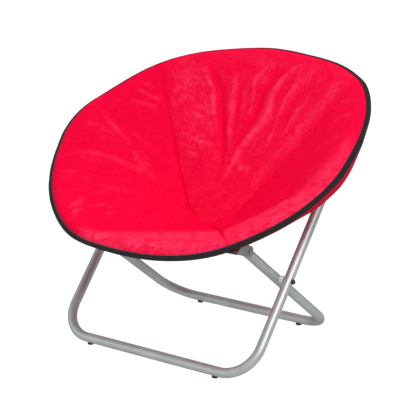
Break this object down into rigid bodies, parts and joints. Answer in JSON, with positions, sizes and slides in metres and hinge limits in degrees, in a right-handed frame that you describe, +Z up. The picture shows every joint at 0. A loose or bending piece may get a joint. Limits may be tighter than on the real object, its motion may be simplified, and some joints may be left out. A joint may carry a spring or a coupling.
{
  "type": "folding saucer chair",
  "caption": "Folding saucer chair: a round padded fabric bowl hangs in a hinged tube ring, carried on crossed U-shaped tube legs that swing together to fold it.",
  "frame": {"origin": "on the floor, under the middle of the whole chair as it stands open", "axes": "+X to the right as seen from the front, +Y to the rear, +Z up"},
  "size_m": [0.7724, 0.6112, 0.6444],
  "materials": {
    "painted_tube": "silver grey powder coat, satin",
    "plated_steel": "zinc plated",
    "black_plastic": "matte, moulded",
    "white_plastic": "matte, moulded",
    "red_fabric": "padded suede-like polyester",
    "black_binding": "woven tape"
  },
  "bodies": {
    "rear_legs": {"rear_leg_frame": "painted_tube", "rear_leg_plug_left": "black_plastic", "rear_leg_plug_right": "black_plastic", "rear_glide_left": "black_plastic", "rear_glide_right": "black_plastic", "pivot_bolt_left": "plated_steel", "pivot_bolt_right": "plated_steel", "pivot_spacer_left": "white_plastic", "pivot_spacer_right": "white_plastic", "pivot_cap_nut_left": "black_plastic", "pivot_cap_nut_right": "black_plastic"},
    "front_legs": {"front_leg_frame": "painted_tube", "front_leg_plug_left": "black_plastic", "front_leg_plug_right": "black_plastic", "front_glide_left": "black_plastic", "front_glide_right": "black_plastic", "rear_bracket_rivet_left": "plated_steel", "rear_bracket_rivet_right": "plated_steel"},
    "ring_front": {"ring_front_half": "painted_tube", "front_ring_bracket_left": "plated_steel", "front_ring_bracket_right": "plated_steel", "front_bracket_rivet_left": "plated_steel", "front_bracket_rivet_right": "plated_steel", "seat_pad_front": "red_fabric", "binding_front": "black_binding"},
    "ring_rear": {"ring_rear_half": "painted_tube", "rear_ring_bracket_left": "plated_steel", "rear_ring_bracket_right": "plated_steel", "ring_hinge_channel_left": "plated_steel", "ring_hinge_channel_right": "plated_steel", "ring_hinge_pin_left": "plated_steel", "ring_hinge_pin_right": "plated_steel", "ring_hinge_rivet_left": "plated_steel", "ring_hinge_rivet_right": "plated_steel", "seat_pad_rear": "red_fabric", "binding_rear": "black_binding"}
  },
  "joints": [
    {"name": "leg_fold", "type": "hinge", "parent": "rear_legs", "child": "front_legs", "pos_m": [0, -0.06314, 0.194], "axis": [1, 0, 0], "range_deg": [0, 75]},
    {"name": "front_ring_pivot", "type": "hinge", "parent": "rear_legs", "child": "ring_front", "pos_m": [0, -0.18853, 0.28848], "axis": [1, 0, 0], "range_deg": [0, 122], "deforming": ["seat_pad_front", "binding_front"]},
    {"name": "ring_hinge", "type": "hinge", "parent": "ring_front", "child": "ring_rear", "pos_m": [0, -0.01454, 0.474], "axis": [1, 0, 0], "range_deg": [-73, 0], "deforming": ["seat_pad_rear", "binding_rear"]}
  ],
  "couplings": [
    {"joint": "front_ring_pivot", "follows": "leg_fold", "ratio": 1.6223},
    {"joint": "ring_hinge", "follows": "leg_fold", "ratio": -0.9708}
  ]
}
